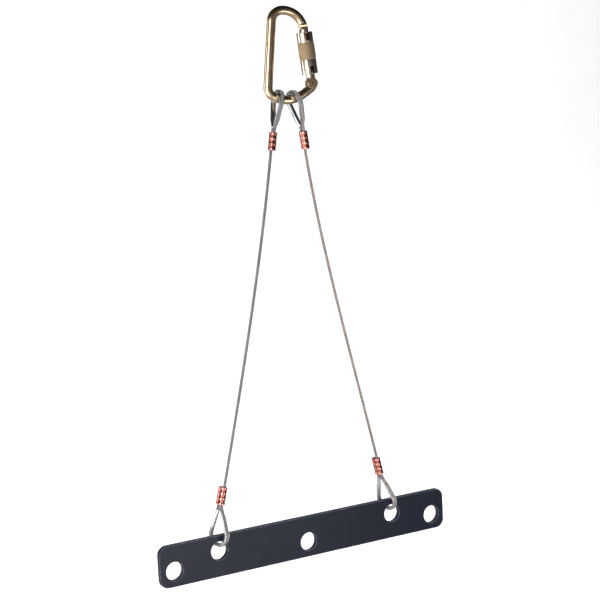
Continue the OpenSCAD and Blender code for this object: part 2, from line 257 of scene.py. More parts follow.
def combine(obj, tool, operation):
    """Joins or cuts obj by tool, which is then gone."""
    modifier = obj.modifiers.new("combine", "BOOLEAN")
    modifier.operation = operation
    modifier.object = tool
    modifier.solver = "EXACT"
    settle(obj)
    bpy.data.objects.remove(tool)


def soften(obj, width, segments=2, angle=32):
    """Rounds the sharp edges of a mesh and keeps its flats flat."""
    work = bmesh.new()
    work.from_mesh(obj.data)
    bmesh.ops.remove_doubles(work, verts=work.verts, dist=0.003 * MM)
    bmesh.ops.dissolve_limit(
        work, angle_limit=math.radians(0.4), verts=work.verts, edges=work.edges
    )
    work.to_mesh(obj.data)
    work.free()
    obj.data.shade_smooth()
    bevel = obj.modifiers.new("bevel", "BEVEL")
    bevel.width = width * MM
    bevel.segments = segments
    bevel.limit_method = "ANGLE"
    bevel.angle_limit = math.radians(angle)
    bevel.miter_outer = "MITER_ARC"
    bevel.harden_normals = False
    weighted = obj.modifiers.new("normals", "WEIGHTED_NORMAL")
    weighted.keep_sharp = False
    weighted.weight = 50
    settle(obj)


def box_object(low, high, matrix):
    x, y, z = zip(low, high)
    points = [(a, b, c) for a in x for b in y for c in z]
    faces = [(0, 1, 3, 2), (4, 6, 7, 5), (0, 4, 5, 1), (2, 3, 7, 6), (0, 2, 6, 4), (1, 5, 7, 3)]
    return make_object("cutter", placed(points, matrix), faces)


def turned(profile, sides):
    """Rings about z, one for each (radius, height)."""
    around = 2 * np.pi * np.arange(sides) / sides
    return [
        np.stack([r * np.cos(around), r * np.sin(around), np.full(sides, z)], 1) for r, z in profile
    ]


def rounded(corners, radius, steps=4):
    """An open profile with its inner corners rounded."""
    out = [corners[0]]
    for a, b, c in zip(corners[:-2], corners[1:-1], corners[2:]):
        a, b, c = (np.asarray(p, float) for p in (a, b, c))
        r = min(radius, 0.45 * np.linalg.norm(a - b), 0.45 * np.linalg.norm(c - b))
        p, q = b + r * unit(a - b), b + r * unit(c - b)
        for i in range(steps + 1):
            t = i / steps
            out.append(tuple((1 - t) ** 2 * p + 2 * t * (1 - t) * b + t * t * q))
    out.append(corners[-1])
    return out


def dress(obj, body, slot, material, *replaced):
    """Gives a piece its body, material and the CAD nodes that it stands for. The slot argument is not
    used.
    """
    obj.data.materials.clear()
    obj.data.materials.append(material)
    if replaced:
        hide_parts(*replaced)
    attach(obj, body)
    return obj


# ---------------------------------------------------------------- frames
IN_CARABINER = turn("Z", -CARABINER_YAW)


def step_end(p, heading, step):
    length, angle = step
    if angle == 0:
        return p + length * np.array([cos(heading), sin(heading)])
    centre = p + length * np.array([-sin(heading), cos(heading)])
    return centre + length * np.array([sin(heading + angle), -cos(heading + angle)])


NOSE_HEADING = 90 + GATE_LEAN
TOP_BOW_CENTRE = np.array([0, STOCK_R - TOP_BOW_R])
NOSE_BEND = TOP_BOW_CENTRE + TOP_BOW_R * np.array([sin(NOSE_TURN), cos(NOSE_TURN)])
NOSE_TIP = NOSE_BEND - NOSE_STRAIGHT * np.array([cos(NOSE_HEADING), sin(NOSE_HEADING)])
RIVET = NOSE_TIP - BLADE_TIP * np.array([cos(NOSE_HEADING), sin(NOSE_HEADING)])
ON_GATE_AXIS = IN_CARABINER @ shift(RIVET[0], 0, RIVET[1]) @ turn("Y", -GATE_LEAN)


def walk(count):
    """Where the stock's centre line is after that many steps, and its heading."""
    p, heading = NOSE_TIP, NOSE_HEADING
    for step in CARABINER_PATH[:count]:
        p, heading = step_end(p, heading, step), heading + step[1]
    return p, heading


def seat_z(side):
    p, heading = walk(SEAT_STEP)
    centre = p + SEAT_BOW_R * np.array([-sin(heading), cos(heading)])
    across = (-EYE_SPREAD if side == LEFT else EYE_SPREAD) - centre[0]
    return centre[1] - math.sqrt(SEAT_BOW_R**2 - across**2)


def foot_x(side):
    return CABLE_HOLE_X - (HOLE_R + FOOT_DROP) * sin(FOOT_LEAN[side])


def foot_z(side):
    return CABLE_HOLE_Z + (HOLE_R + FOOT_DROP) * cos(FOOT_LEAN[side])


SEAT_OUT = EYE_SPREAD * cos(CARABINER_YAW)
SEAT_BACK = EYE_SPREAD * sin(CARABINER_YAW)
CROWN_DROP = EYE_R - THIMBLE_R - STOCK_R - SEAT_GAP


def in_leg(side):
    """A leg's frame: x towards the bar's middle, z up, the origin at its foot's crown centre."""
    yaw = math.degrees(math.atan2(SEAT_BACK, foot_x(side) - SEAT_OUT))
    return turn("Z", 180 * side) @ shift(-foot_x(side), 0, foot_z(side)) @ turn("Z", yaw)


def head_at(side):
    run = math.hypot(foot_x(side) - SEAT_OUT, SEAT_BACK)
    return (
        run - CROWN_DROP * sin(HEAD_LEAN[side]),
        0,
        seat_z(side) - CROWN_DROP * cos(HEAD_LEAN[side]) - foot_z(side),
    )


def at_foot(side):
    return in_leg(side) @ turn("Y", FOOT_LEAN[side])


def at_head(side):
    return in_leg(side) @ shift(*head_at(side)) @ turn("Y", 180 + HEAD_LEAN[side])


def past_throat(place, kink):
    """From an eye's throat on, the ferrule leans by its own angle; its mouth is at the origin."""
    return place @ shift(0, 0, EYE_LENGTH) @ turn("Y", kink)


def on_foot(side):
    return at_foot(side) @ turn("Z", FOOT_TWIST[side])


def on_head(side):
    return at_head(side) @ turn("Z", HEAD_TWIST[side])


def foot_ferrule(side):
    kink = FOOT_FERRULE_LEAN[side] - FOOT_LEAN[side]
    return past_throat(at_foot(side), kink) @ turn("Z", FOOT_TWIST[side])


def head_ferrule(side):
    kink = HEAD_FERRULE_LEAN[side] - HEAD_LEAN[side]
    return past_throat(at_head(side), kink) @ turn("Z", HEAD_TWIST[side])


EYE_REACH = math.hypot(STRAND_X + RETURN_R, EYE_LENGTH)
EYE_TAPER = math.degrees(math.asin((EYE_R + RETURN_R) / EYE_REACH))
EYE_TAPER -= math.degrees(math.atan2(STRAND_X + RETURN_R, EYE_LENGTH))
CROWN_END = 90 + EYE_TAPER


# ---------------------------------------------------------------- wire ropes
CROWN_STEPS = 48
RETURN_STEPS = 8
LEG_STEPS = 60
ROPE_STEP = 1.0
STRANDS = 6
STRAND_R = ROPE_R / 3
CORE_R = STRAND_R * 1.1
ROPE_LAY = 23
WIRE_LAY = -11
# A strand's outline: two points on the back of each of its six outer wires, then the groove.
WIRE_OUTLINE = (0.97, 0.97, 0.6)
WIRE_GROOVE = (0.0, 0.0, 1.0)
WIRES = 6
# Painted shade starts this many strand radii below the rope's surface and grows by this much for each
# further radius. The grooves between the wires get a little more painted shade.
GROOVE_SHADE_DEPTH = 0.1
GROOVE_SHADE_GAIN = 3.6
WIRE_GROOVE_SHADE = 0.1
# How far the rope runs on straight past a ferrule, and how far its dead end stops short of it.
STRAIGHT_RUN = 2
TAIL_SHORT = 0.5


def eye_rope():
    """One eye's rope in the eye's own frame, from the leg round the crown to the dead end."""

    def back_to_ferrule(side):
        angles = [EYE_TAPER * i / RETURN_STEPS for i in range(RETURN_STEPS + 1)]
        return [
            (0, side * (STRAND_X + RETURN_R * (1 - cos(a))), EYE_LENGTH - RETURN_R * sin(a))
            for a in angles
        ]

    turns = [CROWN_END * (1 - 2 * i / CROWN_STEPS) for i in range(CROWN_STEPS + 1)]
    crown = [(0, EYE_R * sin(a), -EYE_R * cos(a)) for a in turns]
    start = [(0, STRAND_X, FERRULE_FAR + STRAIGHT_RUN)]
    end = [(0, -STRAND_X, FERRULE_FAR - TAIL_SHORT)]
    return start + back_to_ferrule(1) + crown + back_to_ferrule(-1)[::-1] + end


def eye_route(eye, ferrule):
    """One eye's rope in the row frame; from the throat on it follows the ferrule."""
    points = np.array(eye_rope(), float)
    past = points[:, 2] > EYE_LENGTH - 0.001
    route = placed(points, eye)
    route[past] = placed(points[past] - (0, 0, EYE_LENGTH), ferrule)
    return route


def rope_route(side):
    """The rope's centre line in the row frame, from its lower dead end to its upper one."""
    foot = eye_route(on_foot(side), foot_ferrule(side))
    head = eye_route(on_head(side), head_ferrule(side))
    a, b = foot[0], head[0]
    span = np.linalg.norm(b - a)
    into_a = span * np.array(foot_ferrule(side))[:3, 2]
    into_b = -span * np.array(head_ferrule(side))[:3, 2]
    u = (np.arange(1, LEG_STEPS) / LEG_STEPS)[:, None]
    free = (
        (2 * u**3 - 3 * u**2 + 1) * a
        + (u**3 - 2 * u**2 + u) * into_a
        + (3 * u**2 - 2 * u**3) * b
        + (u**3 - u**2) * into_b
    )
    return np.concatenate([foot[::-1], free, head])


def evenly(route, step):
    """The same line with its points step apart."""
    along = np.concatenate([[0], np.cumsum(np.linalg.norm(np.diff(route, axis=0), axis=1))])
    at = np.linspace(0, along[-1], int(round(along[-1] / step)) + 1)
    return np.stack([np.interp(at, along, route[:, k]) for k in range(3)], 1), at


def carried(route):
    """Two directions square to the line at each point, carried along it without twisting."""
    heading = unit(np.gradient(route, axis=0))
    across = np.cross(heading[0], [0.3, 0.8, 0.5])
    us = []
    for h in heading:
        across = across - across.dot(h) * h
        across = across / np.linalg.norm(across)
        us.append(across)
    us = np.array(us)
    return us, np.cross(heading, us)


def swept(centre, u, v, radii, phase):
    """Rings round a line: radii is one ring's outline, turned by phase at each point."""
    around = 2 * np.pi * np.arange(len(radii)) / len(radii)
    angle = around[None, :] + np.asarray(phase).reshape(-1, 1)
    radii = np.asarray(radii)[None, :]
    return (
        centre[:, None]
        + (radii * np.cos(angle))[..., None] * u[:, None]
        + (radii * np.sin(angle))[..., None] * v[:, None]
    )


def make_rope(name, side):
    route = rope_route(side)
    line, at = evenly(route, ROPE_STEP)
    u, v = carried(line)
    outline = STRAND_R * np.array(WIRE_OUTLINE * WIRES)
    groove = np.array(WIRE_GROOVE * WIRES)
    points, faces, painted_shade = [], [], []
    count = 0
    for strand in range(STRANDS):
        swing = 2 * np.pi * (at / ROPE_LAY + strand / STRANDS)
        out = np.cos(swing)[:, None] * u + np.sin(swing)[:, None] * v
        centre = line + (ROPE_R - STRAND_R) * out
        rings = swept(centre, u, v, outline, 2 * np.pi * at / WIRE_LAY + strand)
        points.append(rings.reshape(-1, 3))
        faces += skin(rings, first=count)
        # Painted shade: the deeper a point lies inside the rope, the darker it is painted.
        inward = ROPE_R - np.linalg.norm(rings - line[:, None], axis=2)
        groove_shade = GROOVE_SHADE_GAIN * (inward / STRAND_R - GROOVE_SHADE_DEPTH) + WIRE_GROOVE_SHADE * groove[None, :]
        painted_shade.append(np.clip(groove_shade, 0, 1).reshape(-1))
        count += rings.shape[0] * rings.shape[1]
    core = swept(line, u, v, np.full(8, CORE_R), 0 * at)
    points.append(core.reshape(-1, 3))
    faces += skin(core, first=count)
    # The core, deep inside the rope, is painted fully in shade.
    painted_shade.append(np.ones(core.shape[0] * core.shape[1]))
    rope = make_object(name, np.concatenate(points), faces)
    weights(rope, "painted_shade", np.concatenate(painted_shade))
    return rope


# ---------------------------------------------------------------- materials
class Paint:
    """One node material around a Principled shader, with the textures it needs."""

    def __init__(self, name, metallic, roughness, **constants):
        self.material = bpy.data.materials.new(name)
        self.material.use_nodes = True
        self.tree = self.material.node_tree
        self.shader = self.tree.nodes["Principled BSDF"]
        self.shader.inputs["Metallic"].default_value = metallic
        self.shader.inputs["Roughness"].default_value = roughness
        for key, value in constants.items():
            self.shader.inputs[key].default_value = value
        self.place = self.add("ShaderNodeTexCoord").outputs["Object"]

    def add(self, kind, **settings):
        node = self.tree.nodes.new(kind)
        for key, value in settings.items():
            setattr(node, key, value)
        return node

    def link(self, source, node, socket):
        self.tree.links.new(source, node.inputs[socket])

    def stretch(self, x, y, z):
        """Object coordinates drawn out along one way, for streaks."""
        node = self.add("ShaderNodeMapping")
        node.inputs["Scale"].default_value = (x, y, z)
        self.link(self.place, node, "Vector")
        return node.outputs["Vector"]

    def noise(self, scale, detail=3, rough=0.55, place=None):
        node = self.add("ShaderNodeTexNoise")
        node.inputs["Scale"].default_value = scale
        node.inputs["Detail"].default_value = detail
        node.inputs["Roughness"].default_value = rough
        self.link(place or self.place, node, "Vector")
        return node.outputs["Fac"]

    def cells(self, scale):
        node = self.add("ShaderNodeTexVoronoi")
        node.inputs["Scale"].default_value = scale
        self.link(self.place, node, "Vector")
        return node.outputs["Color"]

    def weight(self, name):
        return self.add("ShaderNodeAttribute", attribute_name=name).outputs["Fac"]

    def ramp(self, value, *stops):
        node = self.add("ShaderNodeValToRGB")
        ramp = node.color_ramp
        for i, (at, colour) in enumerate(stops):
            element = ramp.elements[i] if i < 2 else ramp.elements.new(at)
            element.position = at
            colour = (colour,) * 3 if isinstance(colour, (int, float)) else colour
            element.color = (*colour, 1)
        self.link(value, node, "Fac")
        return node.outputs["Color"]

    def mix(self, value, a, b, blend="MIX"):
        node = self.add("ShaderNodeMix", data_type="RGBA", blend_type=blend)
        node.inputs["Factor"].default_value = 1
        if isinstance(value, (int, float)):
            node.inputs["Factor"].default_value = value
        else:
            self.link(value, node, "Factor")
        for socket, colour in ((6, a), (7, b)):
            if isinstance(colour, tuple):
                node.inputs[socket].default_value = (*colour, 1)
            else:
                self.link(colour, node, socket)
        return node.outputs[2]

    def stretch_of_height(self, low, high, fade=1.0):
        """1 between two heights in millimetres, 0 elsewhere."""
        parts = self.add("ShaderNodeSeparateXYZ")
        self.link(self.place, parts, "Vector")
        node = self.add("ShaderNodeMapRange")
        node.inputs["From Min"].default_value = (low - fade) * MM
        node.inputs["From Max"].default_value = (high + fade) * MM
        self.link(parts.outputs["Z"], node, "Value")
        part = 2 * fade / (high - low + 2 * fade)
        return self.ramp(node.outputs["Result"], (0, 0.0), (part, 1.0), (1 - part, 1.0), (1, 0.0))

    def colour(self, source):
        self.link(source, self.shader, "Base Color")

    def rough(self, value, low, high):
        node = self.add("ShaderNodeMapRange")
        node.inputs["To Min"].default_value = low
        node.inputs["To Max"].default_value = high
        self.link(value, node, "Value")
        self.link(node.outputs["Result"], self.shader, "Roughness")

    def bump(self, value, height):
        """height is the bump's real height, in millimetres."""
        node = self.add("ShaderNodeBump")
        node.inputs["Strength"].default_value = 1
        node.inputs["Distance"].default_value = height * MM
        self.link(value, node, "Height")
        if self.shader.inputs["Normal"].links:
            self.link(self.shader.inputs["Normal"].links[0].from_socket, node, "Normal")
        self.link(node.outputs["Normal"], self.shader, "Normal")


# Painted shade colours: dark brown for grooves, darker for the gate inside its sleeve.
GOLD_SHADE, GOLD_SLEEVE_SHADE = (0.10, 0.055, 0.03), (0.05, 0.03, 0.02)


def zinc_gold(name, light, mid, dark, low, high, inside_shade=None):
    """Yellow zinc plate: a drifting straw, olive and rose film over fine forging texture. Its
    roughness runs from low to high. Points with a shade weight take painted shade. The last argument is
    the stretch of heights painted dark as shade inside the sleeve."""
    paint = Paint(name, metallic=1.0, roughness=0.3)
    film = paint.ramp(paint.noise(70, 4), (0.3, dark), (0.5, mid), (0.68, light))
    rose = paint.ramp(paint.noise(38, 2), (0.5, 0.0), (0.75, 1.0))
    film = paint.mix(rose, film, paint.mix(1.0, film, (0.98, 0.82, 0.76), "MULTIPLY"))
    specks = paint.ramp(paint.noise(1500, 2), (0.34, 0.55), (0.42, 1.0))
    film = paint.mix(0.35, film, paint.mix(1.0, film, specks, "MULTIPLY"))
    # Painted shade where the shade weight is set, in the knurl grooves.
    film = paint.mix(paint.weight("painted_shade"), film, GOLD_SHADE)
    if inside_shade:
        # Painted shade on the gate where it runs inside the sleeve.
        film = paint.mix(paint.stretch_of_height(*inside_shade), film, GOLD_SLEEVE_SHADE)
    paint.colour(film)
    paint.rough(paint.noise(260, 4), low, high)
    paint.bump(paint.noise(900, 3), 0.008)
    paint.bump(paint.noise(120, 2), 0.03)
    return paint.material


def plain_steel(name, colour, low, high):
    paint = Paint(name, metallic=1.0, roughness=0.3)
    tint = paint.ramp(paint.noise(500, 4), (0.3, tuple(0.75 * c for c in colour)), (0.65, colour))
    paint.colour(tint)
    paint.rough(paint.noise(700, 3), low, high)
    paint.bump(paint.noise(2200, 2), 0.004)
    return paint.material


def wire_rope(name, bright, groove_shade):
    """Galvanised wire with painted shade in the grooves between wires and strands."""
    paint = Paint(name, metallic=0.5, roughness=0.35)
    drift = paint.ramp(paint.noise(55, 3), (0.35, tuple(0.72 * c for c in bright)), (0.65, bright))
    paint.colour(paint.mix(paint.weight("painted_shade"), drift, groove_shade))
    paint.rough(paint.noise(1800, 3), 0.28, 0.5)
    paint.bump(paint.noise(4000, 2), 0.006)
    return paint.material


def galvanised(name, metallic, dull, bright):
    """Zinc-dipped thimble: faint spangle, with painted shade in its channel."""
    paint = Paint(name, metallic=metallic, roughness=0.35)
    grey = paint.ramp(paint.noise(180, 4), (0.3, dull), (0.7, bright))
    spangle = paint.ramp(paint.cells(900), (0.0, 0.8), (1.0, 1.0))
    grey = paint.mix(1.0, grey, spangle, "MULTIPLY")
    # Painted shade: dark grey where the shade weight is set.
    paint.colour(paint.mix(paint.weight("painted_shade"), grey, (0.16, 0.16, 0.17)))
    paint.rough(paint.noise(600, 4), 0.14, 0.32)
    paint.bump(paint.noise(1100, 3), 0.012)
    return paint.material


def copper(name):
    """Pressed copper: bright on the ridges, with painted shade, darker and redder, in the pressed bands
    and at the ends.
    """
    paint = Paint(name, metallic=1.0, roughness=0.28)
    red = paint.ramp(paint.noise(300, 4), (0.3, (0.80, 0.27, 0.22)), (0.65, (0.99, 0.46, 0.40)))
    paint.colour(paint.mix(paint.weight("painted_shade"), red, (0.42, 0.07, 0.05)))
    paint.rough(paint.noise(900, 3), 0.12, 0.3)
    paint.bump(paint.noise(1300, 4), 0.02)
    paint.bump(paint.noise(420, 2), 0.12)
    return paint.material


def bar_coat(name):
    """Satin black coat with a blue cast, a fine orange peel, faint marks and pale edges: rubbed coat
    and a painted highlight.
    """
    paint = Paint(name, metallic=0.0, roughness=0.4, **{"Specular IOR Level": 0.36})
    dark, less_dark = (0.0075, 0.010, 0.021), (0.0095, 0.0125, 0.026)
    base = paint.ramp(paint.noise(9, 3), (0.35, dark), (0.7, less_dark))
    marks = paint.noise(45, 6, 0.7, paint.stretch(0.2, 1, 2.5))
    marks = paint.ramp(marks, (0.62, 0.0), (0.8, 0.06))
    base = paint.mix(marks, base, (0.05, 0.05, 0.065))
    # Pale edges: worn coat and a painted highlight along the bevels.
    worn_and_highlight = paint.ramp(paint.noise(240, 5, 0.65), (0.35, 0.15), (0.6, 1.0))
    worn_and_highlight = paint.mix(1.0, worn_and_highlight, paint.weight("edge"), "MULTIPLY")
    paint.colour(paint.mix(worn_and_highlight, base, (0.13, 0.14, 0.17)))
    paint.rough(paint.noise(30, 5), 0.34, 0.46)
    paint.bump(paint.noise(1400, 2), 0.006)
    return paint.material


def stage_white(name):
    paint = Paint(name, metallic=0.0, roughness=0.9)
    paint.colour(paint.ramp(paint.noise(3, 2), (0.3, 0.92), (0.7, 0.94)))
    return paint.material


PALE_GOLD = ((0.96, 0.86, 0.76), (0.90, 0.78, 0.67), (0.78, 0.63, 0.50), 0.1, 0.2)
# The heights between which the gate runs inside its sleeve, where it is painted dark as shade.
GATE_IN_SLEEVE = (-69.5, -22)
MATERIALS = {
    "zinc_gold": zinc_gold(
        "zinc_gold", (0.95, 0.76, 0.52), (0.88, 0.67, 0.44), (0.74, 0.51, 0.33), 0.16, 0.28
    ),
    "pale_zinc_gold": zinc_gold("pale_zinc_gold", *PALE_GOLD),
    "knurled_gold": zinc_gold(
        "knurled_gold", (0.95, 0.76, 0.52), (0.88, 0.67, 0.43), (0.76, 0.53, 0.33), 0.3, 0.46
    ),
    "gate_gold": zinc_gold("gate_gold", *PALE_GOLD, GATE_IN_SLEEVE),
    "pin_steel": plain_steel("pin_steel", (0.62, 0.56, 0.46), 0.2, 0.34),
    "spring_steel": plain_steel("spring_steel", (0.42, 0.42, 0.44), 0.25, 0.4),
    # The two ropes are lit and shaded copies of one material: the right one is painted lighter as lit,
    # the left one darker, with deeper painted shade in its grooves.
    "left_rope_steel": wire_rope("left_rope_steel", (0.88, 0.85, 0.83), (0.03, 0.025, 0.02)),
    "right_rope_steel": wire_rope("right_rope_steel", (0.97, 0.89, 0.86), (0.12, 0.10, 0.09)),
    # The thimbles are shaded and lit copies of one material: the top ones are painted darker as shade,
    # the bottom ones painted near white as light.
    "top_thimble_zinc": galvanised("top_thimble_zinc", 1.0, (0.50, 0.52, 0.57), (0.68, 0.70, 0.75)),
    "bottom_thimble_zinc": galvanised(
        "bottom_thimble_zinc", 0.75, (0.84, 0.85, 0.88), (0.95, 0.955, 0.97)
    ),
    "ferrule_copper": copper("ferrule_copper"),
    "bar_black": bar_coat("bar_black"),
}

# ---------------------------------------------------------------- the ropes come first
for name, side in SIDES.items():
    dress(
        make_rope(name + "_wire_rope", side),
        name + "_leg",
        "rope_steel",
        MATERIALS[name + "_rope_steel"],
        name + "_rope",
    )


# ---------------------------------------------------------------- thimbles and ferrules
LIP = 1.1
# From this share of a thimble's leg on, its lips run down to its tip and it narrows, by these shares.
LEG_TAPER = 0.55
TIP_DOWN = 0.85
TIP_NARROW = 0.25
TIP_SPARE = 0.12
# Painted shade on the channel's inner face, under the rope.
CHANNEL_SHADE = 0.8
THIMBLE_STEPS = 56
LEG_POINTS = 14


def thimble_outline():
    """The channel's section as (outward, sideways) points: a round back and two rounded lips."""
    inner = THIMBLE_R - THIMBLE_WALL
    lip_r = THIMBLE_WALL / 2
    middle = THIMBLE_R - lip_r
    lip = LIP - lip_r
    half_turn = np.linspace(0, 180, 7)
    back = [(-THIMBLE_R * sin(a), THIMBLE_R * cos(a)) for a in np.linspace(0, 180, 19)]
    far_lip = [(lip + lip_r * sin(a), -middle - lip_r * cos(a)) for a in half_turn]
    channel = [(-inner * sin(a), -inner * cos(a)) for a in np.linspace(0, 180, 15)]
    near_lip = [(lip + lip_r * sin(a), middle - lip_r * cos(a)) for a in half_turn]
    return np.array(back + far_lip + channel + near_lip)


def make_thimble(name, matrix):
    outline = thimble_outline()
    leg = ((EYE_R - THIMBLE_R) * cos(EYE_TAPER) - TIP_SPARE) / sin(EYE_TAPER)
    stations = []
    for i in range(LEG_POINTS):
        stations.append((-CROWN_END, leg * (1 - i / LEG_POINTS)))
    for i in range(THIMBLE_STEPS + 1):
        stations.append((CROWN_END * (2 * i / THIMBLE_STEPS - 1), 0))
    for i in range(1, LEG_POINTS + 1):
        stations.append((CROWN_END, leg * i / LEG_POINTS))
    from_rope = np.hypot(outline[:, 0], outline[:, 1])
    inside = (from_rope < THIMBLE_R - 0.9 * THIMBLE_WALL) & (outline[:, 0] < 0.5)
    rings, painted_shade = [], []
    for angle, along in stations:
        out = np.array([0, sin(angle), -cos(angle)])
        forward = np.array([0, cos(angle), sin(angle)]) * (1 if angle > 0 else -1)
        centre = EYE_R * out + along * forward
        # The legs' lips run down to a point where the two legs meet.
        tip = ease((along / leg - LEG_TAPER) / (1 - LEG_TAPER))
        outward = outline[:, 0].copy()
        high = outward > -THIMBLE_R / 2
        outward[high] = -THIMBLE_R / 2 + (outward[high] + THIMBLE_R / 2) * (1 - TIP_DOWN * tip)
        sideways = outline[:, 1] * (1 - TIP_NARROW * tip)
        ring = centre + outward[:, None] * out + sideways[:, None] * np.array([1.0, 0, 0])
        rings.append(ring)
        painted_shade.append(np.where(inside, CHANNEL_SHADE, 0.0))
    thimble = make_object(name, placed(np.concatenate(rings), matrix), skin(rings))
    weights(thimble, "painted_shade", np.concatenate(painted_shade))
    return thimble


RIDGES = 4
RIDGE_W = 2.6
# A ridge's side starts this far inside its width and is this long.
SIDE_IN, SIDE_LONG = 0.5, 1.3
FERRULE_SIDES = 72
FERRULE_STEPS = 110
PRESS_DEPTH = 0.75
FIN = 0.35
# How far a fin spreads to each side: the tall one across the thickness, the low one across the width.
FIN_TALL, FIN_LOW = 0.55, 0.6
# How far along the fin the painted shade is lessened.
FIN_UNSHADED = 0.8
END_ROUND = 0.7
# Painted shade in the pressed bands and at the end faces.
BAND_SHADE, END_SHADE = 0.55, 0.3
# The end face, as (depth into the ferrule, inset from its side): a dished middle round the rope.
END_FACE = ((1.0, 2.6), (0.35, 2.3), (0, 1.6))


def make_ferrule(name, matrix):
    """An oval copper sleeve pressed in three bands: ridges stand between them, and each band
    carries the thin fin that the tool's jaws leave."""
    pitch = (FERRULE_LENGTH - RIDGE_W) / (RIDGES - 1)
    heights = np.linspace(0, FERRULE_LENGTH, FERRULE_STEPS)
    around = 2 * np.pi * np.arange(FERRULE_SIDES) / FERRULE_SIDES
    rings, painted_shade = [], []

    def outline(z, inset):
        from_ridge = abs((z - RIDGE_W / 2 + pitch / 2) % pitch - pitch / 2)
        pressed = ease((from_ridge - RIDGE_W / 2 + SIDE_IN) / SIDE_LONG)
        wide = FERRULE_R + FERRULE_SPREAD - inset - PRESS_DEPTH * pressed
        thick = FERRULE_R - inset - 0.8 * PRESS_DEPTH * pressed
        # The pressed bands are flatter, so their section is squarer.
        square = 2 / (2.2 + 0.9 * pressed)
        c, s = np.cos(around), np.sin(around)
        x = thick * np.sign(c) * np.abs(c) ** square
        y = wide * np.sign(s) * np.abs(s) ** square
        x += np.sign(x) * FIN * pressed * np.exp(-((y / FIN_TALL) ** 2))
        y += 0.5 * np.sign(y) * FIN * pressed * np.exp(-((x / FIN_LOW) ** 2))
        return x, y, pressed

    def add(z, inset):
        x, y, pressed = outline(min(max(z, 0), FERRULE_LENGTH), inset)
        rings.append(np.stack([x, y, np.full(FERRULE_SIDES, z)], 1))
        # Painted shade: the pressed bands and end faces are darker, the fins less so.
        fin = np.exp(-((y / FIN_UNSHADED) ** 2))
        painted_shade.append(pressed * (BAND_SHADE - 0.5 * fin) + END_SHADE * (inset > 0.9 * END_ROUND))

    for z, inset in END_FACE:
        add(z, inset)
    for z in heights:
        edge = min(z, FERRULE_LENGTH - z)
        gone = max(0.0, 1 - edge / END_ROUND)
        add(z, END_ROUND * (1 - math.sqrt(max(0.0, 1 - gone * gone))))
    for z, inset in reversed(END_FACE):
        add(FERRULE_LENGTH - z, inset)
    ferrule = make_object(name, placed(np.concatenate(rings), matrix), skin(rings))
    weights(ferrule, "painted_shade", np.clip(np.concatenate(painted_shade), 0, 1))
    return ferrule


for name, side in SIDES.items():
    for end, place, ferrule_place in (
        ("top", on_head, head_ferrule),
        ("bottom", on_foot, foot_ferrule),
    ):
        label = f"{name}_{end}"
        dress(
            make_thimble(label + "_thimble_channel", place(side)),
            name + "_leg",
            "thimble_zinc",
            MATERIALS[end + "_thimble_zinc"],
            label + "_thimble",
        )
        dress(
            make_ferrule(label + "_pressed_ferrule", ferrule_place(side)),
            name + "_leg",
            "ferrule_copper",
            MATERIALS["ferrule_copper"],
            label + "_ferrule",
        )


# ---------------------------------------------------------------- spreader bar
BAR_EDGE = 0.7
EDGE_STEPS = 5
HOLE_SIDES = 96
# The coat is paler between these two distances in from the outline: worn, and painted as a highlight.
WORN_AND_LIT_FROM, WORN_AND_LIT_EDGE = 0.2, 0.95
BAR_FRONT = -BAR_THICK / 2


HOLES = [(x, LOAD_HOLE_Z) for x in (-LOAD_HOLE_X, 0, LOAD_HOLE_X)]
HOLES += [(x, CABLE_HOLE_Z) for x in (-CABLE_HOLE_X, CABLE_HOLE_X)]


def bar_outlines(inset):
    """The bar's border and its holes, all moved into the steel by inset."""
    x, z, r = BAR_LENGTH / 2 - BAR_CORNER, BAR_HEIGHT / 2 - BAR_CORNER, BAR_CORNER - inset
    corners = ((x, z, 0), (-x, z, 90), (-x, -z, 180), (x, -z, 270))
    border = [
        (cx + r * cos(a), cz - HANG_HEIGHT + r * sin(a))
        for cx, cz, start in corners
        for a in np.linspace(start, start + 90, 17)
    ]
    angles = np.linspace(0, 360, HOLE_SIDES + 1)[:-1]
    r = HOLE_R + inset
    return [border] + [[(x + r * cos(a), z + r * sin(a)) for a in angles] for x, z in HOLES]


def make_bar():
    # Each loop's wall rolls over from the front face, runs back, and rolls over to the far face.
    roll = [90 * i / EDGE_STEPS for i in range(EDGE_STEPS + 1)]
    stations = [(BAR_EDGE * (1 - sin(a)), BAR_FRONT + BAR_EDGE * (1 - cos(a))) for a in roll]
    stations += [(inset, -y) for inset, y in reversed(stations)]
    # A ring further in on each face ends the pale edge, worn and painted as a highlight.
    stations = [(WORN_AND_LIT_EDGE, BAR_FRONT)] + stations + [(WORN_AND_LIT_EDGE, -BAR_FRONT)]
    work = bmesh.new()
    edge = work.verts.layers.float.new("edge")
    rims = {0: [], len(stations) - 1: []}
    for k in range(1 + len(HOLES)):
        rings = []
        for inset, y in stations:
            outline = bar_outlines(inset)[k]
            ring = [work.verts.new((x * MM, y * MM, z * MM)) for x, z in outline]
            for vertex in ring:
                vertex[edge] = 1.0 if WORN_AND_LIT_FROM < inset < WORN_AND_LIT_EDGE else 0.0
            rings.append(ring)
        for a, b in zip(rings[:-1], rings[1:]):
            for i in range(len(a)):
                n = (i + 1) % len(a)
                work.faces.new((a[i], a[n], b[n], b[i])).smooth = True
        for i in rims:
            ring = rings[i]
            rims[i] += [work.edges.get(pair) for pair in zip(ring, ring[1:] + ring[:1])]
    for edges in rims.values():
        made = bmesh.ops.triangle_fill(work, edges=edges, use_beauty=True)["geom"]
        for item in made:
            if isinstance(item, bmesh.types.BMFace):
                item.smooth = False
    bmesh.ops.recalc_face_normals(work, faces=work.faces)
    mesh = bpy.data.meshes.new("steel_bar")
    work.to_mesh(mesh)
    work.free()
    bar = bpy.data.objects.new("steel_bar", mesh)
    bpy.context.scene.collection.objects.link(bar)
    return bar


